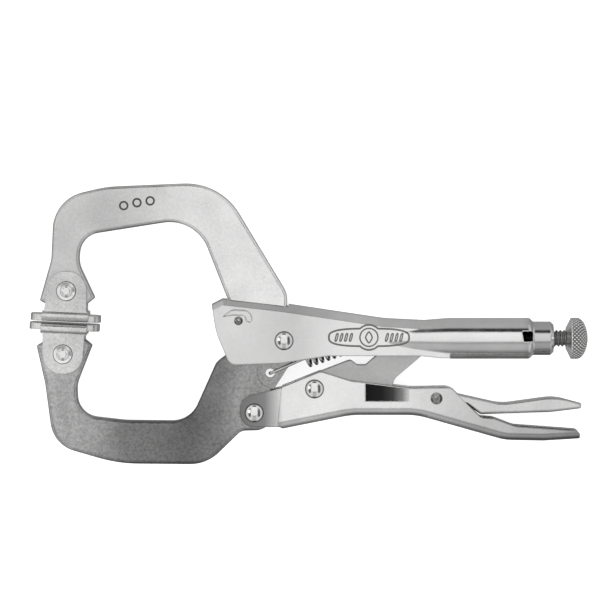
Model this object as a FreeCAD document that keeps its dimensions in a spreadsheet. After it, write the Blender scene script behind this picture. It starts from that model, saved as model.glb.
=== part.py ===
import FreeCAD, Part
import math
import os
import re

import Sketcher

# Locking C-clamp pliers, 6 inch, lying on their side and locked with the pads almost closed.
# +X runs along the tool from the jaws to the adjusting knob, +Y from the movable jaw to the
# fixed jaw, and +Z across the plates, so every rivet is parallel to Z. The origin is the
# centre of the tool's box. Millimetres throughout.

SIZES = {
    # Sheet and plate
    "jaw_plate": 4.8,
    "sheet_wall": 1.6,
    "side_play": 0.1,
    "lever_sheet": 1.2,
    "link_plate": 4.6,
    # Fixed centres: jaw pivot, jaw rivet, handle rivet, link rivet, lever pin, pad rivets
    "pivot_x": -6.7,
    "pivot_y": -4.5,
    "jaw_rivet_x": -19.1,
    "jaw_rivet_y": 0.9,
    "handle_x": -14.8,
    "handle_y": -24.2,
    "link_x": 1.6,
    "link_y": -17.6,
    "lever_x": 34.8,
    "lever_y": -20.2,
    "top_pad_x": -65.9,
    "top_pad_y": 9.0,
    "low_pad_x": -66.9,
    "low_pad_y": -8.2,
    "spring_hole_x": -10.5,
    "spring_hole_y": -13.6,
    "spring_lug_x": 16.5,
    "spring_lug_y": -3.0,
    # Rivets
    "rivet_rad": 2.0,
    "rivet_head": 2.6,
    "rivet_dome": 1.25,
    "small_rivet": 0.9,
    "small_flange": 1.2,
    "pad_rivet": 1.25,
    "pad_flange": 2.7,
    "pin_rad": 1.2,
    "pin_bore": 0.55,
    "running_fit": 0.05,
    # Barrel, screw and knob, all on one line parallel to X
    "screw_y": -4.1,
    "barrel_rad": 5.6,
    "barrel_end": 61.2,
    "bore_rad": 4.0,
    "nose_rad": 4.6,
    "nose_end": 66.8,
    "screw_rad": 2.3,
    "screw_tip": 40.2,
    "knob_rad": 5.7,
    "knob_start": 70.3,
    "knob_end": 76.2,
    # Toggle link's round end, inside the barrel
    "link_end_x": 35.1,
    "link_end": 2.2,
    # Swivel pads
    "pad_drop": 8.3,
    "pad_length": 19.0,
    "pad_front": 12.6,
    "pad_depth": 10.8,
    "pad_sheet": 1.8,
    "ear_rad": 5.4,
    # Return spring
    "spring_rad": 2.2,
    "wire_rad": 0.4,
    "sink_depth": 0.9,
    # Edges
    "fold_bevel": 2.2,
    "fold_round": 2.2,
    "jaw_edge": 1.0,
    "lever_round": 0.7,
    "pad_tilt": -2.6,
}

doc = FreeCAD.newDocument("locking_pliers")
sheet = doc.addObject("Spreadsheet::Sheet", "Sizes")
for row, (name, size) in enumerate(SIZES.items(), start=1):
    sheet.set(f"A{row}", name)
    sheet.set(f"B{row}", str(size))
    sheet.setAlias(f"B{row}", name)
doc.recompute()

pieces = []


def value(formula):
    """Work out a formula of the sheet's names, or pass a plain number through."""
    return float(sheet.evalExpression(formula)) if isinstance(formula, str) else float(formula)


def bind(target, prop, formula):
    """Tie a property to a formula of the sheet's names, or set it to a plain number."""
    if isinstance(formula, str):
        linked = re.sub(r"[a-z_]+", lambda word: "Sizes." + word[0] if word[0] in SIZES else word[0], formula)
        target.setExpression(prop, linked)


def new_body(name, x=0, y=0):
    """Start a sub-part whose own origin stands at x, y."""
    body = doc.addObject("PartDesign::Body", name)
    body.Label = name
    body.Placement.Base = FreeCAD.Vector(value(x), value(y), 0)
    bind(body, "Placement.Base.x", x)
    bind(body, "Placement.Base.y", y)
    pieces.append(body)
    return body


def new_sketch(body, name, plane="XY_Plane"):
    """Start a sketch on one of the body's own origin planes."""
    sketch = body.newObject("Sketcher::SketchObject", name)
    support = next(item for item in body.Origin.OriginFeatures if item.Role == plane)
    sketch.AttachmentSupport = [(support, "")]
    sketch.MapMode = "FlatFace"
    return sketch


def hold(sketch, kind, index, point, size):
    """Add one dimension to a sketch and tie it to its formula."""
    place = (index,) if point is None else (-1, 1, index, point)
    number = sketch.addConstraint(Sketcher.Constraint(kind, *place, value(size)))
    bind(sketch, f"Constraints[{number}]", size)


def rounding(before, corner, after, radius):
    """Give the arc that rounds a corner, where it starts and ends, and whether it turns left."""
    back = (before - corner).normalize()
    ahead = (after - corner).normalize()
    half = back.getAngle(ahead) / 2
    reach = radius / math.tan(half)
    middle = (back + ahead).normalize()
    centre = corner + middle * (radius / math.sin(half))
    start = corner + back * reach
    end = corner + ahead * reach
    arc = Part.Arc(start, centre - middle * radius, end)
    turns_left = back.cross(ahead).z < 0
    return arc, start, end, turns_left


def draw_outline(sketch, corners):
    """Draw a closed outline of straight runs between corners, each (x, y, rounding radius)."""
    points = [FreeCAD.Vector(value(x), value(y), 0) for x, y, _ in corners]
    radii = [value(radius) for _, _, radius in corners]
    count = len(corners)
    arcs = {}
    for step in range(count):
        if radii[step] > 0:
            arcs[step] = rounding(points[step - 1], points[step], points[(step + 1) % count], radii[step])
    lines = []
    for step in range(count):
        after = (step + 1) % count
        start = arcs[step][2] if step in arcs else points[step]
        end = arcs[after][1] if after in arcs else points[after]
        if (end - start).dot(points[after] - points[step]) <= 0:
            raise RuntimeError(f"{sketch.Name}: the roundings at corners {step} and {after} meet")
        lines.append(sketch.addGeometry(Part.LineSegment(start, end), False))
    for step, (x, y, radius) in enumerate(corners):
        line_in, line_out = lines[step - 1], lines[step]
        if step not in arcs:
            sketch.addConstraint(Sketcher.Constraint("Coincident", line_in, 2, line_out, 1))
            hold(sketch, "DistanceX", line_out, 1, x)
            hold(sketch, "DistanceY", line_out, 1, y)
            continue
        first, last = (1, 2) if arcs[step][3] else (2, 1)
        arc = sketch.addGeometry(arcs[step][0], False)
        mark = sketch.addGeometry(Part.Point(points[step]), True)
        sketch.addConstraint([
            Sketcher.Constraint("Tangent", line_in, 2, arc, first),
            Sketcher.Constraint("Tangent", arc, last, line_out, 1),
            Sketcher.Constraint("PointOnObject", mark, 1, line_in),
            Sketcher.Constraint("PointOnObject", mark, 1, line_out),
        ])
        hold(sketch, "DistanceX", mark, 1, x)
        hold(sketch, "DistanceY", mark, 1, y)
        hold(sketch, "Radius", arc, None, radius)


def draw_circle(sketch, x, y, radius):
    """Draw a full circle at x, y."""
    centre = FreeCAD.Vector(value(x), value(y), 0)
    index = sketch.addGeometry(Part.Circle(centre, FreeCAD.Vector(0, 0, 1), value(radius)), False)
    hold(sketch, "DistanceX", index, 3, x)
    hold(sketch, "DistanceY", index, 3, y)
    hold(sketch, "Radius", index, None, radius)


def plate(body, name, corners, width, holes=(), kind="PartDesign::Pad", plane="XY_Plane"):
    """Add or cut a plate of one outline, centred on the sketch's plane."""
    sketch = new_sketch(body, name + "_outline", plane)
    draw_outline(sketch, corners)
    for x, y, radius in holes:
        draw_circle(sketch, x, y, radius)
    feature = body.newObject(kind, name)
    feature.Profile = sketch
    feature.Midplane = True
    feature.Length = value(width)
    bind(feature, "Length", width)
    doc.recompute()
    return feature


def cut(body, name, corners, width, plane="XY_Plane"):
    """Cut a plate of one outline out of the body."""
    return plate(body, name, corners, width, kind="PartDesign::Pocket", plane=plane)


def turned(body, name, corners, plane, axis, kind="PartDesign::Revolution"):
    """Turn an outline about the sketch's own horizontal or vertical axis."""
    sketch = new_sketch(body, name + "_profile", plane)
    draw_outline(sketch, corners)
    feature = body.newObject(kind, name)
    feature.Profile = sketch
    feature.ReferenceAxis = (sketch, [axis])
    feature.Angle = 360
    doc.recompute()
    return feature


def dress_edges(body, name, size, wanted, kind="PartDesign::Fillet"):
    """Round or bevel the edges of the body's newest shape that the test picks."""
    base = body.Tip
    names = [f"Edge{index + 1}" for index, edge in enumerate(base.Shape.Edges) if wanted(edge)]
    dressed = body.newObject(kind, name)
    dressed.Base = (base, names)
    prop = "Radius" if kind == "PartDesign::Fillet" else "Size"
    setattr(dressed, prop, value(size))
    bind(dressed, prop, size)
    doc.recompute()
    return dressed


def along_face(edge, height, box):
    """True where an edge lies at that height either side of the mid-plane, inside box in X and Y."""
    ends = [vertex.Point for vertex in edge.Vertexes]
    middle = edge.valueAt((edge.FirstParameter + edge.LastParameter) / 2)
    flat = all(abs(abs(point.z) - height) < 0.01 for point in ends + [middle])
    return flat and box[0] < middle.x < box[1] and box[2] < middle.y < box[3]


# Shared widths across the plates: half of the gap that holds a jaw, and of the body over it.
GAP = "jaw_plate / 2 + side_play"
CHEEK = "jaw_plate / 2 + side_play + sheet_wall"
HANDLE_GAP = "jaw_plate / 2 + side_play + sheet_wall / 2"
HANDLE = "jaw_plate / 2 + side_play + sheet_wall * 3 / 2"


def double(formula):
    """Twice a formula."""
    return f"2 * ({formula})"


# ------------------------------------------------------------------ upper handle body
def upper_handle_body():
    """Folded sheet: two cheeks over the jaws, closed along the top, rolled into the barrel."""
    body = new_body("upper_handle_body")
    cheeks = [
        (-23.6, 7.4, 0),
        (-26.5, 5.9, 0),
        (-25.2, -2.5, 20.0),
        (-21.4, -11.2, 2.8),
        (-7.4, -10.7, 10.0),
        (5.2, -8.7, 8.0),
        (30.5, -8.7, 8.0),
        (36.0, -9.3, 4.0),
        (38.5, -9.3, 0),
        (38.5, 0.5, 0),
        (20.5, 1.4, 30.0),
        (-6.2, 5.4, 30.0),
    ]
    holes = [("pivot_x", "pivot_y", "rivet_rad"), ("jaw_rivet_x", "jaw_rivet_y", "small_rivet")]
    plate(body, "cheeks", cheeks, double(CHEEK), holes)
    top = (-25.5, 38.6, 0.95, 8)
    on_top = lambda edge: along_face(edge, value(CHEEK), top)
    dress_edges(body, "top_fold", "fold_bevel", on_top, "PartDesign::Chamfer")

    barrel = new_sketch(body, "barrel_profile")
    barrel.AttachmentOffset.Base = FreeCAD.Vector(0, value("screw_y"), 0)
    bind(barrel, "AttachmentOffset.Base.y", "screw_y")
    draw_outline(barrel, [
        (12, 0, 0),
        (12, 3.4, 0),
        (38, "barrel_rad", 40.0),
        ("barrel_end - 0.9", "barrel_rad", 1.0),
        ("barrel_end", "nose_rad", 0.5),
        ("nose_end - 0.8", "nose_rad", 0.3),
        ("nose_end", "nose_rad - 0.8", 0),
        ("nose_end", 0, 0),
    ])
    rolled = body.newObject("PartDesign::Revolution", "barrel")
    rolled.Profile = barrel
    rolled.ReferenceAxis = (barrel, ["H_Axis"])
    rolled.Angle = 360
    doc.recompute()

    # The channel is open below, and open above as far back as the fixed jaw stands up through it.
    cut(body, "channel", [
        (-30, -14, 0),
        (-30, 12, 0),
        (-5.5, 12, 0),
        (-5.5, 3.7, 0),
        (20.5, -0.3, 10.0),
        (38.6, -0.3, 0),
        (38.6, -14, 0),
    ], double(GAP))

    bore = new_sketch(body, "bore_profile")
    bore.AttachmentOffset.Base = FreeCAD.Vector(0, value("screw_y"), 0)
    bind(bore, "AttachmentOffset.Base.y", "screw_y")
    draw_outline(bore, [
        (30, 0, 0),
        (30, "bore_rad - 0.4", 0),
        (38, "bore_rad", 0),
        ("barrel_end - sheet_wall", "bore_rad", 0.8),
        ("barrel_end - 0.6", "screw_rad + running_fit", 0),
        ("nose_end + 1", "screw_rad + running_fit", 0),
        ("nose_end + 1", 0, 0),
    ])
    groove = body.newObject("PartDesign::Groove", "bore")
    groove.Profile = bore
    groove.ReferenceAxis = (bore, ["H_Axis"])
    groove.Angle = 360
    doc.recompute()

    # The rolled sheet meets in a seam along the underside, and is notched at its shoulder.
    cut(body, "seam", [(38, -14, 0), (38, -7.5, 0), ("nose_end + 1", -7.5, 0), ("nose_end + 1", -14, 0)], 0.4)
    cut(body, "shoulder_notch", [
        ("barrel_end - 2.7", "screw_y - 0.6", 0.3),
        ("barrel_end - 3.2", "screw_y + 2.2", 0.3),
        ("barrel_end - 0.2", "screw_y + 2.2", 0.3),
        ("barrel_end - 0.2", "screw_y - 0.5", 0.3),
    ], double("barrel_rad"))

    # A crescent is pressed into each cheek over the jaw's rivet.
    for name, side in (("near_crescent", 1), ("far_crescent", -1)):
        sketch = new_sketch(body, name + "_outline")
        sketch.AttachmentOffset.Base = FreeCAD.Vector(0, 0, side * value(CHEEK))
        draw_outline(sketch, [
            (-23.4, 2.0, 0),
            (-20.8, 3.9, 2.0),
            (-15.5, 3.6, 2.2),
            (-15.5, 0.5, 0.5),
            (-16.9, 0.7, 0.3),
            (-17.3, 2.4, 1.2),
            (-20.6, 2.5, 1.5),
        ])
        crescent = body.newObject("PartDesign::Pocket", name)
        crescent.Profile = sketch
        crescent.Length = 0.4
        crescent.Reversed = side < 0
        doc.recompute()

    lug = new_sketch(body, "spring_lug_outline")
    draw_circle(lug, "spring_lug_x", "spring_lug_y", "sheet_wall / 2")
    bar = body.newObject("PartDesign::Pad", "spring_lug")
    bar.Profile = lug
    bar.Midplane = True
    bar.Length = value(double(GAP) + " + sheet_wall")
    bind(bar, "Length", double(GAP) + " + sheet_wall")
    doc.recompute()


# ------------------------------------------------------------------ jaws
def fixed_jaw():
    """Forged C-shaped jaw, held between the cheeks, ending in a spade for the swivel pad."""
    body = new_body("fixed_jaw")
    outline = [
        (-5.8, 8.2, 7.0),
        (-24.1, 38.6, 17.0),
        (-55.0, 37.3, 30.0),
        (-69.3, 34.0, 10.5),
        (-70.1, 17.5, 8.0),
        (-73.3, 6.3, 0.5),
        ("top_pad_x - 2.2", "top_pad_y - 5.3", 4.0),
        ("top_pad_x + 3.6", "top_pad_y - 5.2", 2.0),
        (-58.2, 7.0, 0.5),
        (-62.6, 16.4, 7.0),
        (-62.0, 24.0, 6.0),
        (-30.8, 28.9, 11.0),
        (-22.0, 6.5, 2.0),
        (-22.0, -2.2, 1.0),
        (-15.6, -2.2, 1.5),
        (-10.2, 2.6, 1.5),
        (-5.8, 2.6, 0.5),
    ]
    holes = [("top_pad_x", "top_pad_y", "pad_rivet"), ("jaw_rivet_x", "jaw_rivet_y", "small_rivet")]
    plate(body, "jaw", outline, "jaw_plate", holes)
    dress_edges(body, "edges", "jaw_edge", jaw_rim)


def jaw_rim(edge):
    """True for the edges of a jaw's outline, both faces, but not for its holes."""
    return along_face(edge, value("jaw_plate / 2"), (-80, 80, -80, 80)) and not edge.isClosed()


def movable_jaw():
    """Forged C-shaped jaw that turns on the pivot rivet and carries the handle's rivet."""
    body = new_body("movable_jaw")
    outline = [
        (-74.2, -6.0, 0.5),
        (-71.9, -16.4, 10.0),
        (-69.7, -33.2, 9.0),
        (-52.0, -38.3, 40.0),
        (-27.8, -38.5, 11.0),
        (-18.4, -29.3, 3.0),
        ("handle_x + 4.9", "handle_y - 4.9", 4.6),
        ("handle_x + 4.9", -18.6, 5.0),
        (-5.9, -12.4, 3.0),
        ("pivot_x + 4.6", -7.6, 3.0),
        ("pivot_x + 4.6", "pivot_y + 4.6", 4.4),
        ("pivot_x - 2.9", "pivot_y + 4.6", 3.0),
        (-17.6, -4.8, 4.0),
        (-25.2, -10.6, 4.0),
        (-32.4, -26.7, 7.5),
        (-50.0, -26.5, 30.0),
        (-62.9, -25.0, 6.0),
        (-63.2, -16.6, 7.0),
        (-59.0, -5.9, 0.5),
        ("low_pad_x + 4.4", "low_pad_y + 5.2", 2.0),
        ("low_pad_x - 1.8", "low_pad_y + 5.3", 4.0),
    ]
    holes = [
        ("pivot_x", "pivot_y", "rivet_rad + running_fit"),
        ("handle_x", "handle_y", "rivet_rad"),
        ("low_pad_x", "low_pad_y", "pad_rivet"),
        ("spring_hole_x", "spring_hole_y", 1.3),
    ]
    plate(body, "jaw", outline, "jaw_plate", holes)
    dress_edges(body, "edges", "jaw_edge", jaw_rim)
    # Round the spring's hole both faces are sunk, so that its hook lies below them.
    for name, side in (("near_sink", 1), ("far_sink", -1)):
        sketch = new_sketch(body, name + "_outline")
        sketch.AttachmentOffset.Base = FreeCAD.Vector(0, 0, side * value("jaw_plate / 2"))
        draw_circle(sketch, "spring_hole_x + 1.3", "spring_hole_y + 0.6", 4.9)
        sink = body.newObject("PartDesign::Pocket", name)
        sink.Profile = sketch
        sink.Length = value("sink_depth")
        bind(sink, "Length", "sink_depth")
        sink.Reversed = side < 0
        doc.recompute()


# ------------------------------------------------------------------ rivets
def rivet(name, x, y, shank, head, seat, dome, bore=0):
    """A rivet across the plates: a shank with a rounded head beyond seat on each side."""
    body = new_body(name, x, y)
    top = f"{seat} + {dome}"
    if bore:
        crown = [
            (bore, top, 0),
            (f"{head} * 0.55", top, f"{head} * 0.4"),
            (head, f"{seat} + {dome} * 0.45", f"{dome} * 0.25"),
        ]
    else:
        crown = [
            (0, top, 0),
            (f"{head} * 0.3", top, f"{head} * 1.15"),
            (f"{head} * 0.78", f"{seat} + {dome} * 0.72", f"{head} * 0.57"),
            (head, f"{seat} + {dome} * 0.2", f"{dome} * 0.3"),
        ]
    half = crown + [(head, seat, 0), (shank, seat, 0)]
    mirrored = [(x_place, f"-({height})", radius) for x_place, height, radius in reversed(half)]
    turned(body, "turned", half + mirrored, "XZ_Plane", "V_Axis")


def pad_rivet(name, x, y):
    """A swivel pad's rivet: a shank with a thin flange and a small centre dome on each side."""
    body = new_body(name, x, y)
    seat = "jaw_plate / 2 + side_play * 2 + pad_sheet + running_fit"
    half = [
        (0, f"{seat} + 1.05", 0),
        (1.0, f"{seat} + 1.05", 0.6),
        (1.65, f"{seat} + 0.6", 0.1),
        (1.65, f"{seat} + 0.3", 0.1),
        ("pad_flange - 0.2", f"{seat} + 0.45", 0.1),
        ("pad_flange", seat, 0),
        ("pad_rivet", seat, 0),
    ]
    mirrored = [(x_place, f"-({height})", radius) for x_place, height, radius in reversed(half)]
    turned(body, "turned", half + mirrored, "XZ_Plane", "V_Axis")


def rivets():
    """Every rivet and pin of the tool."""
    rivet("jaw_pivot_rivet", "pivot_x", "pivot_y", "rivet_rad", "rivet_head", CHEEK, "rivet_dome")
    rivet("fixed_jaw_rivet", "jaw_rivet_x", "jaw_rivet_y", "small_rivet", "small_flange", CHEEK, 0.3, 0.4)
    seat = CHEEK + " + running_fit"
    rivet("handle_rivet", "handle_x", "handle_y", "rivet_rad", "rivet_head", seat, "rivet_dome")
    rivet("link_rivet", "link_x", "link_y", "rivet_rad", "rivet_head", HANDLE, "rivet_dome")
    rivet("release_lever_pin", "lever_x", "lever_y", "pin_rad", 1.65, HANDLE, 0.4, "pin_bore")
    pad_rivet("upper_pad_rivet", "top_pad_x", "top_pad_y")
    pad_rivet("lower_pad_rivet", "low_pad_x", "low_pad_y")


# ------------------------------------------------------------------ swivel pads
def swivel_pad(name, x, y, turn):
    """Stamped clevis: two ears over the jaw's spade, rolled out into a flat pad with two wings."""
    body = new_body(name, x, y)
    body.Placement.Rotation = FreeCAD.Rotation(FreeCAD.Vector(0, 0, 1), turn + value("pad_tilt"))
    inner = "jaw_plate / 2 + side_play * 2"
    outer = "jaw_plate / 2 + side_play * 2 + pad_sheet"
    right = [
        ("ear_rad + 0.2", inner, 0),
        ("ear_rad + 0.2", outer, 0),
        ("2.4 - pad_drop", outer, 0.3),
        ("2.4 - pad_drop", "pad_depth / 2", 0.6),
        ("-pad_drop", "pad_depth / 2", 1.3),
    ]
    left = [(place, f"-({across})", radius) for place, across, radius in reversed(right)]
    floor = [("pad_sheet - pad_drop", f"-({inner})", 0), ("pad_sheet - pad_drop", inner, 0)]
    plate(body, "folded", right + left + floor, "pad_front", plane="YZ_Plane")

    shaping = new_sketch(body, "ears_outline")
    draw_outline(shaping, [
        ("-pad_front", "2.8 - pad_drop", 0),
        ("-ear_rad - 0.3", "2.8 - pad_drop", 0.4),
        ("-ear_rad", "ear_rad", "ear_rad - 0.1"),
        ("ear_rad", "ear_rad", "ear_rad - 0.1"),
        ("ear_rad + 0.3", "2.8 - pad_drop", 0.4),
        ("pad_front", "2.8 - pad_drop", 0),
        ("pad_front", "pad_front", 0),
        ("-pad_front", "pad_front", 0),
    ])
    draw_circle(shaping, 0, 0, "pad_rivet + running_fit")
    ears = body.newObject("PartDesign::Pocket", "ears")
    ears.Profile = shaping
    ears.Midplane = True
    ears.Length = value("pad_depth + 2")
    bind(ears, "Length", "pad_depth + 2")
    doc.recompute()

    wings = new_sketch(body, "wings_outline", "XZ_Plane")
    wings.AttachmentOffset.Base = FreeCAD.Vector(0, 0, value("pad_drop"))
    bind(wings, "AttachmentOffset.Base.z", "pad_drop")
    draw_outline(wings, [
        ("-pad_length / 2", -4.0, 2.0),
        ("pad_length / 2", -4.0, 2.0),
        ("pad_length / 2", 4.0, 2.0),
        ("-pad_length / 2", 4.0, 2.0),
    ])
    spread = body.newObject("PartDesign::Pad", "wings")
    spread.Profile = wings
    spread.Length = value("pad_sheet")
    spread.Reversed = True
    bind(spread, "Length", "pad_sheet")
    doc.recompute()


# ------------------------------------------------------------------ lower handle
def lower_handle():
    """Folded channel, open along the top, with two ears set in over the movable jaw's knuckle."""
    body = new_body("lower_handle")
    ears = [
        ("handle_x - 3.9", "handle_y - 3.9", 3.8),
        ("handle_x - 3.9", "handle_y + 4.0", 3.7),
        (-8.4, -17.7, 0),
        (-6.2, -17.2, 0),
        (-6.2, -28.2, 0),
        (-8.6, -28.1, 0),
    ]
    plate(body, "ears", ears, double(CHEEK))
    grip = [
        (-8.4, -27.8, 0),
        (-7.0, -28.6, 0),
        (11.5, -24.9, 25.0),
        (29.5, -24.9, 20.0),
        (53.5, -31.7, 14.0),
        (64.0, -31.9, 14.0),
        (73.9, -31.3, 0),
        (73.9, -29.2, 1.1),
        (56.0, -27.9, 6.0),
        (50.4, -25.8, 3.0),
        (46.9, -25.5, 1.5),
        (38.7, -17.3, 3.5),
        (28.0, -17.5, 6.0),
        (11.2, -15.5, 6.0),
        (3.3, -13.0, 1.5),
        (-7.4, -17.3, 0.8),
    ]
    plate(body, "grip", grip, double(HANDLE))
    dress_edges(body, "bottom_fold", "fold_round", under_side)
    cut(body, "channel", [
        (-7.0, -26.9, 0),
        (11.5, -23.3, 20.0),
        (29.5, -23.3, 20.0),
        (53.5, -30.1, 14.0),
        (64.0, -30.3, 14.0),
        (72.4, -29.8, 0.5),
        (72.4, -10.0, 0),
        (-7.0, -10.0, 0),
    ], double(HANDLE_GAP))
    cut(body, "ear_gap", [(-20, -30, 0), (-6.6, -30, 0), (-6.6, -10, 0), (-20, -10, 0)], double(GAP))
    for name, x, y, radius in (
        ("rivet_holes", "handle_x", "handle_y", "rivet_rad + running_fit"),
        ("link_holes", "link_x", "link_y", "rivet_rad"),
        ("pin_holes", "lever_x", "lever_y", "pin_rad"),
    ):
        sketch = new_sketch(body, name + "_outline")
        draw_circle(sketch, x, y, radius)
        drilled = body.newObject("PartDesign::Pocket", name)
        drilled.Profile = sketch
        drilled.Midplane = True
        drilled.Length = 20
        doc.recompute()
    # A thumb-sized step is pressed into each side, deep at the front and fading out to the rear.
    for name, side in (("near_step", 1), ("far_step", -1)):
        sketch = new_sketch(body, name + "_outline", "XZ_Plane")
        sketch.AttachmentOffset.Base = FreeCAD.Vector(0, 0, 16.0)
        outer = value(HANDLE)
        wedge = [(15.4, side * (outer - 0.8), 0), (28.0, side * outer, 0), (15.4, side * (outer + 0.5), 0)]
        draw_outline(sketch, wedge)
        step = body.newObject("PartDesign::Pocket", name)
        step.Profile = sketch
        step.Length = 5.0
        step.Reversed = True
        doc.recompute()


def under_side(edge):
    """True for the grip's long edges along its underside, both sides of the tool."""
    middle = edge.valueAt((edge.FirstParameter + edge.LastParameter) / 2)
    dip = -24.9 - 0.283 * min(max(middle.x - 29.5, 0), 24.2) - 0.2 * max(11.5 - middle.x, 0)
    return along_face(edge, value(HANDLE), (-6.6, 73.5, -33, dip + 1.0))


# ------------------------------------------------------------------ toggle link and release lever
def toggle_link():
    """Plate link from the handle's rivet to the screw's tip, with a bump on its upper edge."""
    body = new_body("toggle_link")
    outline = [
        ("link_x - 3.9", "link_y - 3.9", 3.8),
        ("link_x - 3.9", "link_y + 2.4", 3.4),
        (11.4, -9.9, 1.2),
        (13.2, -11.3, 1.2),
        (15.6, -11.3, 1.2),
        (18.3, -8.9, 2.0),
        ("link_end_x - 2.2", "screw_y + link_end", 2.0),
        ("link_end_x + link_end", "screw_y + link_end", 2.1),
        ("link_end_x + link_end", "screw_y - link_end", 2.1),
        ("link_end_x - 1.5", "screw_y - link_end", 2.0),
        (28.6, -10.6, 10.0),
        (23.4, -15.0, 3.0),
        (22.2, -19.7, 1.5),
        (12.0, -21.2, 10.0),
    ]
    plate(body, "link", outline, "link_plate", [("link_x", "link_y", "rivet_rad + running_fit")])


def release_lever():
    """Curved sheet lever, folded into a channel open below, pinned inside the lower handle."""
    body = new_body("release_lever")
    outline = [
        (25.4, -18.8, 0),
        (34.0, -17.8, 6.0),
        (41.0, -19.3, 8.0),
        (52.5, -21.9, 14.0),
        (67.0, -19.9, 14.0),
        (74.4, -21.9, 0),
        (74.4, -23.1, 0.5),
        (66.0, -24.1, 20.0),
        (46.8, -24.7, 1.5),
        (43.0, -21.9, 1.5),
        (34.0, -22.6, 4.0),
        (25.4, -21.2, 0.8),
    ]
    width = double(HANDLE_GAP + " - side_play * 3")
    plate(body, "lever", outline, width, [("lever_x", "lever_y", "pin_rad + running_fit")])
    crown = (25.5, 74.3, -22.2, -17)
    on_crown = lambda edge: along_face(edge, value(HANDLE_GAP + " - side_play * 3"), crown) and not edge.isClosed()
    dress_edges(body, "crown", "lever_round", on_crown)
    cut(body, "channel", [
        (26.8, -26, 0),
        (26.8, -20.0, 0.5),
        (34.0, -19.0, 6.0),
        (41.0, -20.5, 8.0),
        (52.5, -23.1, 14.0),
        (67.0, -21.1, 14.0),
        (73.3, -22.8, 0),
        (73.3, -26, 0),
    ], width + " - 2 * lever_sheet")


# ------------------------------------------------------------------ screw, knob and spring
def adjusting_screw():
    """Steel rod threaded through the barrel's nose, with a rounded tip towards the link."""
    body = new_body("adjusting_screw", 0, "screw_y")
    turned(body, "rod", [
        ("screw_tip", 0, 0),
        ("screw_tip", "screw_rad", 0.9),
        ("knob_end - 1.6", "screw_rad", 0.3),
        ("knob_end - 1.6", 0, 0),
    ], "XY_Plane", "H_Axis")


def adjusting_knob():
    """Round knob on the screw's outer end, coned towards the barrel and rounded behind."""
    body = new_body("adjusting_knob", 0, "screw_y")
    turned(body, "knob", [
        ("knob_start", "screw_rad + running_fit", 0),
        ("knob_start", "knob_rad - 2.2", 0.3),
        ("knob_start + 1.2", "knob_rad", 0.3),
        ("knob_end - 2.2", "knob_rad", 2.0),
        ("knob_end", "knob_rad - 2.4", 2.2),
        ("knob_end", 0, 0),
        ("knob_end - 1.5", 0, 0),
        ("knob_end - 1.5", "screw_rad + running_fit", 0),
    ], "XY_Plane", "H_Axis")


def jaw_spring():
    """Return spring from the jaw's hole to the body's lug: its coil as one round solid, with two ends."""
    hook = FreeCAD.Vector(value("spring_hole_x"), value("spring_hole_y"), 0)
    lug = FreeCAD.Vector(value("spring_lug_x"), value("spring_lug_y - sheet_wall / 2 - wire_rad"), 0)
    line = lug - hook
    coil_start = hook + line * 0.36
    coil_end = hook + line * 0.86
    along = coil_end - coil_start
    wire = value("wire_rad")
    # The front end lies in the sink on the jaw's near face, and turns down through the hole.
    hook_top = hook + FreeCAD.Vector(0, 0, value("jaw_plate / 2 - sink_depth + wire_rad * 1.6"))
    front_end = coil_start + line * 0.04 + FreeCAD.Vector(0, 0, value("spring_rad - wire_rad * 1.2"))
    coil = Part.makeCylinder(value("spring_rad"), along.Length, coil_start, along)
    front = Part.makeCylinder(wire, (front_end - hook_top).Length, hook_top, front_end - hook_top)
    rear = Part.makeCylinder(wire, (lug - coil_end).Length, coil_end, lug - coil_end)
    turned_down = Part.makeCylinder(wire, 3.6, hook_top, FreeCAD.Vector(0, 0, -1))
    spring = doc.addObject("Part::Feature", "jaw_spring")
    spring.Label = "jaw_spring"
    spring.Shape = coil.fuse([front, rear, turned_down]).removeSplitter()
    spring.Placement = FreeCAD.Placement()
    pieces.append(spring)


upper_handle_body()
fixed_jaw()
movable_jaw()
rivets()
swivel_pad("upper_swivel_pad", "top_pad_x", "top_pad_y", 0)
swivel_pad("lower_swivel_pad", "low_pad_x", "low_pad_y", 180)
lower_handle()
toggle_link()
release_lever()
adjusting_screw()
adjusting_knob()
jaw_spring()

doc.recompute()
failed = [item.Name for item in doc.Objects if {"Invalid", "Error"} & set(item.State)]
if failed:
    raise RuntimeError("These did not recompute: " + ", ".join(failed))

os.makedirs("parts", exist_ok=True)
for piece in pieces:
    if piece.Shape.isNull() or not piece.Shape.isValid():
        raise RuntimeError(piece.Label + " has no valid shape")
    piece.Shape.exportStep(f"parts/{piece.Label}.step")
    box = piece.Shape.BoundBox
    print(
        f"{piece.Label:20s} solids {len(piece.Shape.Solids)} volume {piece.Shape.Volume:9.1f}"
        f" x {box.XMin:7.2f} {box.XMax:7.2f} y {box.YMin:7.2f} {box.YMax:7.2f} z {box.ZMin:6.2f} {box.ZMax:6.2f}"
    )
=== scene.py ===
import math

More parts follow.
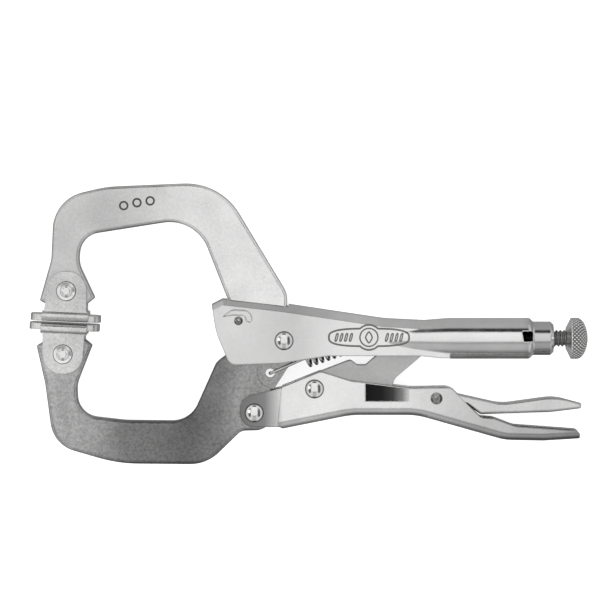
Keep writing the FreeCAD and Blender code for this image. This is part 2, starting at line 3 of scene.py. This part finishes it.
import bmesh
import bpy
import numpy as np
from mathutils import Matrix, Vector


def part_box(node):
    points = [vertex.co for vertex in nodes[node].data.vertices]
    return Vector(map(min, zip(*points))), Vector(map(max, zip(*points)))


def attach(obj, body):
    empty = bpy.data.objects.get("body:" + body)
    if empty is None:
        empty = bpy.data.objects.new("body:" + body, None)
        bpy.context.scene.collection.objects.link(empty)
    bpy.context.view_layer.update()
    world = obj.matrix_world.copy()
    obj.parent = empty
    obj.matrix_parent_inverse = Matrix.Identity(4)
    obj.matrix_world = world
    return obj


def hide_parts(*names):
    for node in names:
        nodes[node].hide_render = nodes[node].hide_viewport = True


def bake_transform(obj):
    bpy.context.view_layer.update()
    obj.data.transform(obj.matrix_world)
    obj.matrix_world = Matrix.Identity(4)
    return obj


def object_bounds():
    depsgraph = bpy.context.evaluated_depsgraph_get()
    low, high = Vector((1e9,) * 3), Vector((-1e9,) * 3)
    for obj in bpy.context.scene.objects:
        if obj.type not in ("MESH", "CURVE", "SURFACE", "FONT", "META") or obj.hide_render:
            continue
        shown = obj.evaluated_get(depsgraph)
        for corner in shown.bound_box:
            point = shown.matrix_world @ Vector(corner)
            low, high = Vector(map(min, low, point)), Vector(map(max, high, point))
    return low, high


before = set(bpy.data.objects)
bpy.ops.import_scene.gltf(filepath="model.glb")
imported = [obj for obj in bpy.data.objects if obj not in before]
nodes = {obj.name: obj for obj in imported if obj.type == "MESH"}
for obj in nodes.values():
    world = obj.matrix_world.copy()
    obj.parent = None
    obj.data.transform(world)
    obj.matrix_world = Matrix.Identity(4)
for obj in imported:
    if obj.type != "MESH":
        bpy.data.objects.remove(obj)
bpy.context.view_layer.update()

# ---------------------------------------------------------------- the two jaws
# Forged C-shaped arms of plate steel, tumbled and then nickel plated, which leaves a
# satin face with faint clouds and a fine grain. Their grey along X is painted light and
# shade: the movable one is a little rougher, and painted much darker than the fixed one.
NICKEL = (0.995, 1, 0.99)


def set_stops(node, stops, tint=(1, 1, 1)):
    """Fill a ramp with pairs of place and light, in straight steps. The first and last
    places are the ramp's two ends."""
    first, last = stops[0][0], stops[-1][0]
    elements = node.color_ramp.elements
    for number, (place, light) in enumerate(stops):
        share = (place - first) / (last - first)
        element = elements[0] if number == 0 else elements.new(share) if share < 1 else elements[-1]
        element.position = share
        element.color = (*(light * part for part in tint), 1)


def plated(name, tones, roughness, clouds=0.08, grain=0.05, dents=0.3, edge=0.0):
    """Nickel plate. Its grey follows tones, pairs of place along X in mm and grey, in
    straight steps; clouds 8 mm across and a fine grain then lighten and darken it. Corners
    shine as if broken by edge, in mm, as tumbling before plating does."""
    material = bpy.data.materials.new(name)
    material.use_nodes = True
    tree = material.node_tree
    shader = tree.nodes["Principled BSDF"]
    shader.inputs["Metallic"].default_value = 1.0
    place = tree.nodes.new("ShaderNodeTexCoord").outputs["Object"]

    split = tree.nodes.new("ShaderNodeSeparateXYZ")
    along = tree.nodes.new("ShaderNodeMapRange")
    ramp = tree.nodes.new("ShaderNodeValToRGB")
    tree.links.new(place, split.inputs[0])
    tree.links.new(split.outputs["X"], along.inputs["Value"])
    along.inputs["From Min"].default_value = tones[0][0] / 1000
    along.inputs["From Max"].default_value = tones[-1][0] / 1000
    tree.links.new(along.outputs[0], ramp.inputs[0])
    set_stops(ramp, tones, NICKEL)

    def noise(scale, detail, low, high):
        """A noise of that scale, stretched so that its middle half runs from low to high."""
        source = tree.nodes.new("ShaderNodeTexNoise")
        source.inputs["Scale"].default_value = scale
        source.inputs["Detail"].default_value = detail
        tree.links.new(place, source.inputs["Vector"])
        spread = tree.nodes.new("ShaderNodeMapRange")
        spread.inputs["From Min"].default_value = 0.3
        spread.inputs["From Max"].default_value = 0.7
        spread.inputs["To Min"].default_value = low
        spread.inputs["To Max"].default_value = high
        tree.links.new(source.outputs[0], spread.inputs["Value"])
        return spread.outputs[0]

    colour = ramp.outputs["Color"]
    for factor in (noise(130, 5, 1 - clouds, 1 + clouds), noise(1500, 3, 1 - grain, 1 + grain)):
        scaled = tree.nodes.new("ShaderNodeVectorMath")
        scaled.operation = "SCALE"
        tree.links.new(colour, scaled.inputs[0])
        tree.links.new(factor, scaled.inputs["Scale"])
        colour = scaled.outputs[0]
    tree.links.new(colour, shader.inputs["Base Color"])
    tree.links.new(noise(260, 4, roughness * 0.8, roughness * 1.2), shader.inputs["Roughness"])
    bump = tree.nodes.new("ShaderNodeBump")
    bump.inputs["Strength"].default_value = dents
    bump.inputs["Distance"].default_value = 0.00004
    tree.links.new(noise(1100, 3, 0, 1), bump.inputs["Height"])
    tree.links.new(bump.outputs[0], shader.inputs["Normal"])
    if edge:
        broken = tree.nodes.new("ShaderNodeBevel")
        broken.samples = 6
        broken.inputs["Radius"].default_value = edge / 1000
        tree.links.new(broken.outputs[0], bump.inputs["Normal"])
    return material


def finish_with(material, *names):
    """Give CAD pieces their finish."""
    for name in names:
        nodes[name].data.materials.clear()
        nodes[name].data.materials.append(material)


# Painted light and shade along X: lit tones for the fixed jaw, shaded tones for the movable one.
LIT_JAW_TONES = [(-76, 0.64), (-50, 0.6), (-36, 0.78), (-5, 0.92)]
forged_lit = plated("forged_lit", LIT_JAW_TONES, 0.28, clouds=0.09, dents=0.5, edge=0.15)
SHADED_JAW_TONES = [(-76, 0.55), (-62, 0.44), (-50, 0.24), (-32, 0.16), (-24, 0.24), (-19, 0.36), (-2, 0.4)]
forged_shaded = plated("forged_shaded", SHADED_JAW_TONES, 0.3, 0.14, 0.22, 0.8, 0.15)
finish_with(forged_lit, "fixed_jaw")
finish_with(forged_shaded, "movable_jaw")

# Three punched rings, an inspection mark struck in the fixed jaw's face. The ring punch
# throws up a low round lip, rough and coloured nearly black.
SIDES = {"near": 1, "far": -1}
MARKS = [(-50.3, 32.2), (-46.7, 33.0), (-43.1, 33.5)]
RING_RADIUS = 1.05
LIP_WIDTH = 0.5
LIP_HEIGHT = 0.06
PUNCHED = plated("punched_lip", [(-60, 0.12), (-30, 0.12)], 0.5)


def surface(name, points, material, round_rows=False, round_columns=False, groove_shade=None):
    """A smooth mesh through rows and columns of points, in mm. Either way round can close on
    itself, and rows that shrink to one point close as poles. The last argument gives each point
    a share of painted shade."""
    rows, columns = points.shape[:2]
    index = np.arange(rows * columns).reshape(rows, columns)
    index = np.vstack([index, index[:1]]) if round_rows else index
    index = np.hstack([index, index[:, :1]]) if round_columns else index
    quads = np.stack([index[:-1, :-1], index[1:, :-1], index[1:, 1:], index[:-1, 1:]], axis=-1)
    mesh = bpy.data.meshes.new(name)
    mesh.from_pydata((points.reshape(-1, 3) / 1000).tolist(), [], quads.reshape(-1, 4).tolist())
    if groove_shade is not None:
        mesh.attributes.new("groove_shade", "FLOAT", "POINT").data.foreach_set("value", groove_shade.ravel())
    shell = bmesh.new()
    shell.from_mesh(mesh)
    bmesh.ops.remove_doubles(shell, verts=shell.verts, dist=1e-7)
    bmesh.ops.recalc_face_normals(shell, faces=shell.faces)
    shell.to_mesh(mesh)
    shell.free()
    mesh.shade_smooth()
    mesh.materials.append(material)
    piece = bpy.data.objects.new(name, mesh)
    bpy.context.scene.collection.objects.link(piece)
    return piece


def bead(name, outline, width, height, skin, side, material):
    """A low round ridge along a closed outline (x, y): a half ellipse, width by height, stands
    across the line at each point, on the skin's own height there."""
    ahead = np.roll(outline, -1, axis=0) - np.roll(outline, 1, axis=0)
    ahead /= np.linalg.norm(ahead, axis=1, keepdims=True)
    across = np.stack([-ahead[:, 1], ahead[:, 0]], axis=1)
    turn = np.linspace(0, 2 * np.pi, 13)[:-1]
    offset = np.cos(turn) * width / 2
    lift = np.where(np.sin(turn) > 0, np.sin(turn) * height, np.sin(turn) * 0.06)
    flat = outline[:, None, :] + across[:, None, :] * offset[None, :, None]
    level = skin(flat[..., 0], flat[..., 1]) + lift[None, :]
    points = np.concatenate([flat, side * level[..., None]], axis=-1)
    return surface(name, points, material, True, True)


def ring(x, y, radius, count=64):
    """A circle's points."""
    turn = np.linspace(0, 2 * np.pi, count + 1)[:-1]
    return np.stack([x + radius * np.cos(turn), y + radius * np.sin(turn)], axis=1)


jaw_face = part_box("fixed_jaw")[1].z * 1000
for number, (x, y) in enumerate(MARKS, start=1):
    for label, side in SIDES.items():
        mark = bead(
            f"punched_ring_{number}_{label}",
            ring(x, y, RING_RADIUS),
            LIP_WIDTH,
            LIP_HEIGHT,
            lambda x, y: np.full(x.shape, jaw_face),
            side,
            PUNCHED,
        )
        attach(mark, "upper_handle")

# ---------------------------------------------------------------- the upper handle
# One blank of steel sheet folded over the jaws and rolled into a barrel, polished before
# plating, so that it shows long clear reflections.
# Painted light and shade along X: darker towards the front, lighter along the barrel, darker again at
# its nose.
SHEET_PAINTED_TONES = [(-28, 0.76), (-16, 0.72), (-4, 0.66), (8, 0.82), (58, 0.84), (61.5, 0.62), (68, 0.6)]
polished_sheet = plated("polished_sheet", SHEET_PAINTED_TONES, 0.15, 0.05, 0.02, 0.12, 0.5)
finish_with(polished_sheet, "upper_handle_body")

# A plain stamped badge on each side of it: a long frame with a round middle, a ring and a
# lozenge there, and slanting bars on each side. The die raises the lines; their dark grey is
# painted shade.
CHEEK_FACE = 4.1
SCREW_LINE = -4.1
# Painted shade: the raised lines are coloured dark grey.
stamped_line_shade = plated("stamped_line_shade", [(0, 0.2), (30, 0.24)], 0.3, clouds=0.15)


def handle_skin(x, y):
    """The side of the handle: the flat cheek, or the barrel's cone where that stands out."""
    radius = 3.4 + (x - 12) * 2.2 / 26
    return np.maximum(CHEEK_FACE, np.sqrt(np.maximum(radius**2 - (y - SCREW_LINE) ** 2, 0)))


def badge_frame(x, y, half_length, half_height, bulge):
    """Round the centre, the further of two radii at each angle: a superellipse of power 3,
    and a circle as large as bulge."""
    turn = np.linspace(0, 2 * np.pi, 361)[:-1]
    long_way = np.abs(np.cos(turn) / half_length) ** 3 + np.abs(np.sin(turn) / half_height) ** 3
    radius = np.maximum(long_way ** (-1 / 3), bulge)
    return np.stack([x + radius * np.cos(turn), y + radius * np.sin(turn)], axis=1)


def lozenge(x, y, half_length, half_height, power=1.3, lean=0.0):
    """A superellipse of low power, four softened points, that leans by lean times its height."""
    turn = np.linspace(0, 2 * np.pi, 49)[:-1]
    wide = half_length * np.sign(np.cos(turn)) * np.abs(np.cos(turn)) ** (2 / power)
    high = half_height * np.sign(np.sin(turn)) * np.abs(np.sin(turn)) ** (2 / power)
    return np.stack([x + wide + lean * high, y + high], axis=1)


BADGE = (16.4, -3.6)
badge_lines = {
    "frame": (badge_frame(*BADGE, 10.9, 2.4, 3.4), 0.5, 0.16),
    "roundel": (ring(*BADGE, 2.45, 96), 0.4, 0.16),
    "lozenge": (lozenge(*BADGE, 0.9, 1.5), 0.4, 0.16),
}
for number, x in enumerate((7.6, 8.9, 10.2, 11.5, 21.3, 22.6, 23.9, 25.2), start=1):
    badge_lines[f"bar_{number}"] = (lozenge(x, BADGE[1], 0.26, 1.05, 3, 0.25), 0.36, 0.12)
for label, side in SIDES.items():
    for line, (outline, width, height) in badge_lines.items():
        stamped = bead(f"badge_{line}_{label}", outline, width, height, handle_skin, side, stamped_line_shade)
        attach(stamped, "upper_handle")

# ---------------------------------------------------------------- rivets and pins
# Turned steel pins with domed heads, peened over and brightly plated, with a dark ring of
# painted shade where each head's steep rim meets the sheet. The lever's pin is a rolled tube;
# it and the fixed jaw's rivet are coloured dark grey all over.
RIM_SHADE_BELOW = 0.62
RIM_CLEAR_ABOVE = 0.8


def dim(material, share):
    """Scale a material's colour by share, which one of its own nodes gives."""
    tree = material.node_tree
    shader = tree.nodes["Principled BSDF"]
    scaled = tree.nodes.new("ShaderNodeVectorMath")
    scaled.operation = "SCALE"
    tree.links.new(shader.inputs["Base Color"].links[0].from_socket, scaled.inputs[0])
    tree.links.new(share, scaled.inputs["Scale"])
    tree.links.new(scaled.outputs[0], shader.inputs["Base Color"])


polished_rivet = plated("polished_rivet", [(-70, 0.84), (40, 0.84)], 0.1, 0.06, 0.03, 0.15, 0.12)
rivet_tree = polished_rivet.node_tree
# Painted shade: the colour drops to a dark ring where the head's normal turns steep.
facing = rivet_tree.nodes.new("ShaderNodeSeparateXYZ")
rivet_tree.links.new(rivet_tree.nodes.new("ShaderNodeTexCoord").outputs["Normal"], facing.inputs[0])
upright = rivet_tree.nodes.new("ShaderNodeMath")
upright.operation = "ABSOLUTE"
rivet_tree.links.new(facing.outputs["Z"], upright.inputs[0])
rim_shade = rivet_tree.nodes.new("ShaderNodeMapRange")
rim_shade.inputs["From Min"].default_value = RIM_SHADE_BELOW
rim_shade.inputs["From Max"].default_value = RIM_CLEAR_ABOVE
rim_shade.inputs["To Min"].default_value = 0.08
rivet_tree.links.new(upright.outputs[0], rim_shade.inputs["Value"])
dim(polished_rivet, rim_shade.outputs[0])
finish_with(
    polished_rivet,
    "jaw_pivot_rivet",
    "handle_rivet",
    "link_rivet",
    "upper_pad_rivet",
    "lower_pad_rivet",
)
rolled_pin = plated("rolled_pin", [(-25, 0.22), (40, 0.3)], 0.2, edge=0.12)
finish_with(rolled_pin, "release_lever_pin", "fixed_jaw_rivet")

# ---------------------------------------------------------------- the two swivel pads
# Stamped and folded steel clevises, barrel plated, so a little brighter than the arms. Each
# straddles its arm's tip and tilts on its own rivet.
plated_pad = plated("plated_pad", [(-78, 0.7), (-54, 0.62)], 0.24, 0.14, 0.12, 0.6, 0.35)
finish_with(plated_pad, "upper_swivel_pad", "lower_swivel_pad")

# ---------------------------------------------------------------- handle, link and lever
# The handle is a folded channel, the link a solid plate and the lever a narrow pressed
# channel, all polished and plated; the link keeps an even satin face.
# Painted shade along X: dark on the front ears by the jaw, darker again towards the tail.
HANDLE_SHADED_TONES = [(-20, 0.17), (-12, 0.26), (-8.6, 0.6), (-7, 0.86), (24, 0.84), (45, 0.6), (76, 0.42)]
handle_sheet_shaded = plated("handle_sheet_shaded", HANDLE_SHADED_TONES, 0.17, 0.06, 0.03, 0.15, 0.45)
finish_with(handle_sheet_shaded, "lower_handle")

# A thumb-sized step is pressed into each side of the handle. A thin skin on its floor
# carries painted shadow: black at the steep front end, clearing towards the rear.
HANDLE_FACE = 4.9
STEP_FRONT = 15.55
STEP_REAR = 27.4
# Painted shadow: black at the step's front, clearing to the rear.
STEP_SHADOW_TONES = [(15.6, 0.012), (20, 0.02), (23, 0.06), (25.5, 0.25), (STEP_REAR, 0.7)]
step_shadow_paint = plated("step_shadow_paint", STEP_SHADOW_TONES, 0.25)


def step_shadow_skin(side):
    """Rows along X, columns from the handle's top edge down: a thin skin on the step's
    sloping floor, 0.03 mm proud of it, which runs out where the slope meets the face."""
    x, down = np.meshgrid(np.linspace(STEP_FRONT, STEP_REAR, 24), np.linspace(0, 1, 12), indexing="ij")
    edge = -16.2 - 0.119 * (x - STEP_FRONT)
    y = edge + (-20.9 - edge) * down
    floor = HANDLE_FACE - 0.8 * (28.0 - x) / 12.6 + 0.03
    return np.stack([x, y, side * floor], axis=-1)


# Each side's step gets its skin of painted shadow.
for label, side in SIDES.items():
    floor = surface(f"step_shadow_skin_{label}", step_shadow_skin(side)[::side], step_shadow_paint)
    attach(floor, "handle")

lever_sheet = plated("lever_sheet", [(24, 0.7), (76, 0.66)], 0.18, 0.08, 0.04, 0.2, 0.35)
finish_with(lever_sheet, "release_lever")
link_plate = plated("link_plate", [(-4, 0.5), (20, 0.52), (38, 0.56)], 0.34, 0.08, 0.05, 0.4, 0.35)
finish_with(link_plate, "toggle_link")

# ---------------------------------------------------------------- adjusting screw
# A bright steel rod with a rolled thread along it; the thread shows between the barrel's
# nose and the knob, and more of it as the screw comes out. The rod is coloured nearly black
# up to where the nose stands at rest, and grey beyond.
THREAD_START = 46.0
THREAD_END = 71.4
PITCH = 1.058
SCREW_RADIUS = 2.3
THREAD_TONES = [(40, 0.02), (66, 0.03), (67, 0.3), (75, 0.4)]
thread_steel = plated("thread_steel", THREAD_TONES, 0.18, 0.1, 0.06, 0.2)
tip, shank_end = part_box("adjusting_screw")[0].x * 1000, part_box("adjusting_screw")[1].x * 1000


def threaded_rod():
    """Circles along X whose radius drops by the thread's depth in a rounded V at each pitch;
    the V goes once round per pitch. Both ends taper and close."""
    x = np.concatenate([
        [tip, tip, tip + 0.7],
        np.linspace(THREAD_START, THREAD_END, 312),
        [shank_end, shank_end],
    ])
    end = np.concatenate([[0, 1.6, SCREW_RADIUS], np.full(312, SCREW_RADIUS), [SCREW_RADIUS, 0]])
    turn = np.linspace(0, 2 * np.pi, 41)[:-1]
    phase = (x[:, None] / PITCH - turn[None, :] / (2 * np.pi)) % 1
    valley = np.clip(1 - np.abs(2 * phase - 1) * 1.25, 0, 1) ** 0.8
    fade = np.clip((x - THREAD_START) / 2, 0, 1) * np.clip((THREAD_END - x) / 1.0, 0, 1)
    radius = np.maximum(end[:, None] - 0.5 * valley * fade[:, None], 0)
    across = SCREW_LINE + radius * np.cos(turn)[None, :]
    along = np.broadcast_to(x[:, None], radius.shape)
    return np.stack([along, across, radius * np.sin(turn)[None, :]], -1)


threaded_screw = surface("threaded_screw", threaded_rod(), thread_steel, round_columns=True)
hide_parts("adjusting_screw")
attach(threaded_screw, "screw")

# ---------------------------------------------------------------- adjusting knob
# A turned steel button pressed on the screw's end, with a diamond knurl rolled into its rim
# and dome and a smooth bevel towards the barrel.
KNOB_START = 70.3
KNOB_RIM = 71.6
KNOB_DOME = 73.2
KNOB_END = 76.2
KNOB_RADIUS = 5.65
KNURLS = 32
KNURL_DEPTH = 0.3
knurled = plated("knurled", [(70, 0.9), (77, 0.9)], 0.16, 0.08, 0.06, 0.2)
knurled_tree = knurled.node_tree
# Painted shade: the knurl's grooves are darkened by their depth.
groove_shade_node = knurled_tree.nodes.new("ShaderNodeAttribute")
groove_shade_node.attribute_name = "groove_shade"
groove_darkening = knurled_tree.nodes.new("ShaderNodeMapRange")
groove_darkening.inputs["To Min"].default_value = 1.0
groove_darkening.inputs["To Max"].default_value = 0.04
knurled_tree.links.new(groove_shade_node.outputs["Fac"], groove_darkening.inputs["Value"])
dim(knurled, groove_darkening.outputs[0])


def knurled_button():
    """A profile turned about the screw's line: bore, bevel, rim, then a quarter ellipse as the
    dome. On rim and dome, two families of V grooves cross and sink along the normal. The
    deeper a point lies in a groove, the more painted shade it gets."""
    dome = np.linspace(0, np.pi / 2, 60)
    x = np.concatenate([
        [74.7, 74.7, KNOB_START, KNOB_START],
        np.linspace(KNOB_START + 0.15, KNOB_RIM, 10),
        np.linspace(KNOB_RIM + 0.1, KNOB_DOME - 0.1, 18),
        KNOB_DOME + (KNOB_END - KNOB_DOME) * np.sin(dome),
    ])
    r = np.concatenate([
        [0, SCREW_RADIUS + 0.04, SCREW_RADIUS + 0.04, 3.1],
        np.linspace(3.3, KNOB_RADIUS, 10),
        np.full(18, KNOB_RADIUS),
        KNOB_RADIUS * np.cos(dome),
    ])
    run = np.concatenate([[0], np.cumsum(np.hypot(np.diff(x), np.diff(r)))])
    slope_x, slope_r = np.gradient(x), np.gradient(r)
    length = np.hypot(slope_x, slope_r) + 1e-9
    turn = np.linspace(0, 2 * np.pi, KNURLS * 8 + 1)[:-1]
    way = run[:, None] * KNURLS / (2 * np.pi * KNOB_RADIUS) * 2 * np.pi
    one = np.abs(((KNURLS * turn[None, :] + way) / (2 * np.pi)) % 1 * 2 - 1)
    two = np.abs(((KNURLS * turn[None, :] - way) / (2 * np.pi)) % 1 * 2 - 1)
    groove = 1 - np.minimum(one, two) * 2
    shown = np.clip((x - KNOB_RIM) / 0.3, 0, 1) * np.clip((r - 0.5) / 1.5, 0, 1) * (run > 8)
    depth = KNURL_DEPTH * np.clip(groove * 1.3, 0, 1) * shown[:, None]
    radius = r[:, None] - depth * (slope_x / length)[:, None]
    along = x[:, None] + depth * (slope_r / length)[:, None]
    points = np.stack([along, SCREW_LINE + radius * np.cos(turn), radius * np.sin(turn)], -1)
    return points, depth / KNURL_DEPTH


button, button_groove_shade = knurled_button()
knurled_knob = surface("knurled_knob", button, knurled, round_columns=True, groove_shade=button_groove_shade)
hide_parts("adjusting_knob")
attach(knurled_knob, "knob")

# ---------------------------------------------------------------- return spring
# A coil of drawn wire inside the handle. Its rear end hooks round the lug in the handle and
# its front end lies in a sink on the jaw, turned down through a hole there.
WIRE = 0.4
COIL_RADIUS = 1.8
TURNS = 8
HOLE = np.array([-10.5, -13.6, 0.0])
LUG = np.array([16.5, -3.0, 0.0])
HOOK_LEVEL = 2.14
HOOK_DROP = 2.6
LUG_WRAP = 1.24
COIL_FRONT = 0.375
COIL_SHARE = 0.485
COIL_REAR = 0.86
COIL_BEND = 0.8
HOOK_BEND = 0.7
spring_wire = plated("spring_wire", [(-12, 0.6), (18, 0.6)], 0.2, 0.08, 0.05, 0.2)


def wire_line():
    """The wire's line and its frame, in five runs from the lug: part of the way round the lug,
    straight to the coil, the coil as a helix that closes in at its rear, a small bend, and a
    straight end that turns down."""
    up = np.array([0.0, 0.0, 1.0])
    lug_low = LUG + np.array([0.0, -1.2, 0.0])
    span = lug_low - HOLE
    ahead = span / np.linalg.norm(span)
    side = np.cross(ahead, up)
    lean = math.atan2(ahead[1], ahead[0])
    round_lug = np.linspace(math.radians(100), lean - math.pi / 2, 20)
    hook = LUG + LUG_WRAP * np.stack([np.cos(round_lug), np.sin(round_lug), 0 * round_lug], 1)
    rear = HOLE + span * COIL_REAR
    straight = hook[-1] + (rear - hook[-1]) * np.linspace(0, 1, 6)[1:-1, None]
    step = np.linspace(1, 0, TURNS * 28)
    angle = 2 * np.pi * TURNS * step
    closing = np.clip((1 - step) / 0.07, 0, 1)
    radius = COIL_RADIUS * closing**2 * (3 - 2 * closing)
    out = np.cos(angle)[:, None] * up + np.sin(angle)[:, None] * side
    coil = HOLE + span * (COIL_FRONT + COIL_SHARE * step)[:, None] + out * radius[:, None]
    bend = np.linspace(0, np.pi / 2, 9)[1:, None]
    turned = coil[-1] - ahead * COIL_BEND * (1 - np.cos(bend)) - side * COIL_BEND * np.sin(bend)
    hook_top = HOLE + up * HOOK_LEVEL
    toward = hook_top - turned[-1]
    leg = np.linalg.norm(toward)
    toward /= leg
    front = turned[-1] + toward * (leg - HOOK_BEND) * np.linspace(0, 1, 12)[1:, None]
    down = np.linspace(0, np.pi / 2, 9)[1:, None]
    corner = front[-1] + toward * HOOK_BEND * np.sin(down) - up * HOOK_BEND * (1 - np.cos(down))
    drop = corner[-1] - up * np.linspace(0, HOOK_DROP, 6)[1:, None]
    line = np.concatenate([hook, straight, coil, turned, front, corner, drop])
    way = np.gradient(line, axis=0)
    way /= np.linalg.norm(way, axis=1, keepdims=True)
    first = len(hook) + len(straight)
    last = first + len(coil) + len(turned)
    normal = np.tile(up, (len(line), 1))
    normal[first : first + len(coil)] = out
    normal -= np.sum(normal * way, axis=1, keepdims=True) * way
    level = np.cross(np.tile(toward, (len(line), 1)), up)
    normal[last:] = np.cross(level, way)[last:]
    normal /= np.linalg.norm(normal, axis=1, keepdims=True)
    return line, normal, np.cross(way, normal)


def round_wire(line, normal, other, radius):
    """A circle of that radius in each point's frame, with both ends closed to a point."""
    turn = np.linspace(0, 2 * np.pi, 13)[:-1]
    cosine, sine = np.cos(turn)[None, :, None], np.sin(turn)[None, :, None]
    circle = normal[:, None, :] * cosine + other[:, None, :] * sine
    tube = line[:, None, :] + circle * radius
    ends = [np.repeat(line[None, [place]], 12, axis=1).reshape(1, 12, 3) for place in (0, -1)]
    return np.concatenate([ends[0], tube, ends[1]])


coil_spring = surface("coil_spring", round_wire(*wire_line(), WIRE), spring_wire, round_columns=True)
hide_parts("jaw_spring")
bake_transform(coil_spring)

# ---------------------------------------------------------------- table and light
# The tool lies on its side on a plain white table, under wide soft panels and one small
# lamp. A dark gap between panels, on the fixed jaw's side, draws the barrel's dark line.
table_top = bpy.data.meshes.new("table_top")
floor_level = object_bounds()[0][2] - 0.0004
HALF = 3.0
corners = [(-HALF, -HALF), (HALF, -HALF), (HALF, HALF), (-HALF, HALF)]
table_top.from_pydata([(x, y, floor_level) for x, y in corners], [], [(0, 1, 2, 3)])
white_table = bpy.data.materials.new("white_table")
white_table.use_nodes = True
table_shader = white_table.node_tree.nodes["Principled BSDF"]
table_shader.inputs["Base Color"].default_value = (0.8, 0.8, 0.8, 1)
table_shader.inputs["Roughness"].default_value = 0.9
table_shader.inputs["Emission Color"].default_value = (1, 1, 1, 1)
table_shader.inputs["Emission Strength"].default_value = 0.75
table_top.materials.append(white_table)
table = bpy.data.objects.new("table", table_top)
table.visible_glossy = False
bpy.context.scene.collection.objects.link(table)

# Brightness of the surroundings by angle from overhead, in degrees: plus is towards the
# fixed jaw's side of the tool, minus towards the movable jaw's side. OVERHEAD is the strip
# that runs across the tool; AROUND is the plainer light towards either end of it.
OVERHEAD = [
    (-180, 0.2),
    (-102, 0.1),
    (-84, 0.17),
    (-60, 0.47),
    (-33, 0.5),
    (-28, 0.38),
    (-19, 0.38),
    (-13, 0.88),
    (-3, 0.9),
    (30, 1.0),
    (36, 0.95),
    (42, 0.02),
    (58, 0.02),
    (65, 0.45),
    (140, 0.42),
    (180, 0.3),
]
AROUND = [
    (-180, 0.3),
    (-100, 0.4),
    (-80, 0.62),
    (-40, 0.8),
    (0, 0.95),
    (40, 0.9),
    (80, 0.7),
    (100, 0.4),
    (180, 0.3),
]
STRIP_EDGE = 0.14
STRIP_END = 0.3
# Two dark gaps, by how far a direction lies towards the tool's ends, narrow and high up.
GAPS = [(0, 1), (0.3, 1), (0.42, 0.12), (0.56, 0.12), (0.68, 0.72), (1, 0.72)]
studio = bpy.data.worlds.new("studio")
studio.use_nodes = True
sky = studio.node_tree
sky.nodes.clear()


def step(operation, *values):
    """A maths node's result."""
    node = sky.nodes.new("ShaderNodeMath")
    node.operation = operation
    for socket, value in zip(node.inputs, values):
        sky.links.new(value, socket)
    return node.outputs[0]


def share(value, low, high):
    """How far value has come from low to high, from 0 to 1."""
    node = sky.nodes.new("ShaderNodeMapRange")
    node.inputs["From Min"].default_value = low
    node.inputs["From Max"].default_value = high
    sky.links.new(value, node.inputs["Value"])
    return node.outputs[0]


def ramp(value, stops):
    """A brightness that follows value in straight steps through the stops (place, light)."""
    node = sky.nodes.new("ShaderNodeValToRGB")
    sky.links.new(value, node.inputs[0])
    set_stops(node, stops)
    return node.outputs["Color"]


def between(factor, plain, other):
    """Plain where the factor is 0, other where it is 1."""
    node = sky.nodes.new("ShaderNodeMix")
    for socket, value in zip((node.inputs[0], node.inputs[2], node.inputs[3]), (factor, plain, other)):
        if isinstance(value, (int, float)):
            socket.default_value = value
        else:
            sky.links.new(value, socket)
    return node.outputs[0]


parts = sky.nodes.new("ShaderNodeSeparateXYZ")
sky.links.new(sky.nodes.new("ShaderNodeTexCoord").outputs["Generated"], parts.inputs[0])
from_overhead = step("ARCTAN2", parts.outputs["Y"], parts.outputs["Z"])
turned = share(from_overhead, -math.pi, math.pi)
to_ends = step("ABSOLUTE", parts.outputs["X"])
strip = share(to_ends, STRIP_EDGE, STRIP_END)
bands = between(strip, ramp(turned, OVERHEAD), ramp(turned, AROUND))
away = share(step("ABSOLUTE", from_overhead), math.radians(26), math.radians(42))
dimmed = step("MULTIPLY", bands, between(away, ramp(to_ends, GAPS), 1.0))
reflected = sky.nodes.new("ShaderNodeBackground")
sky.links.new(dimmed, reflected.inputs["Color"])
seen = sky.nodes.new("ShaderNodeBackground")
seen.inputs["Color"].default_value = (1, 1, 1, 1)
ray = sky.nodes.new("ShaderNodeLightPath")
either = sky.nodes.new("ShaderNodeMixShader")
sky.links.new(ray.outputs["Is Glossy Ray"], either.inputs[0])
sky.links.new(seen.outputs[0], either.inputs[1])
sky.links.new(reflected.outputs[0], either.inputs[2])
world_out = sky.nodes.new("ShaderNodeOutputWorld")
sky.links.new(either.outputs[0], world_out.inputs["Surface"])
bpy.context.scene.world = studio
bpy.context.scene.view_settings.view_transform = "Standard"
key = bpy.data.lights.new("key", "AREA")
key.shape = "DISK"
key.size = 0.35
key.energy = 0.35
key_light = bpy.data.objects.new("key_light", key)
KEY_BACK = 0.55
KEY_UP = 0.75
key_light.location = (-KEY_BACK, 0.1, KEY_UP)
key_light.rotation_euler = (0, -math.atan2(KEY_BACK, KEY_UP), 0)
bpy.context.scene.collection.objects.link(key_light)

# A long lens from almost straight above, a little towards the fixed jaw's side.
TILT = math.radians(3)
DISTANCE = 1.0
AIM = (-0.00235, 0.00637, 0.0)
FRAME_WIDTH = 0.1638
lens = bpy.data.cameras.new("lens")
lens.sensor_width = 36
lens.lens = 36 * DISTANCE / FRAME_WIDTH
lens.clip_start = 0.01
camera = bpy.data.objects.new("camera", lens)
camera.location = (AIM[0], AIM[1] + DISTANCE * math.sin(TILT), DISTANCE * math.cos(TILT))
camera.rotation_euler = (-TILT, 0, 0)
bpy.context.scene.collection.objects.link(camera)
bpy.context.scene.camera = camera
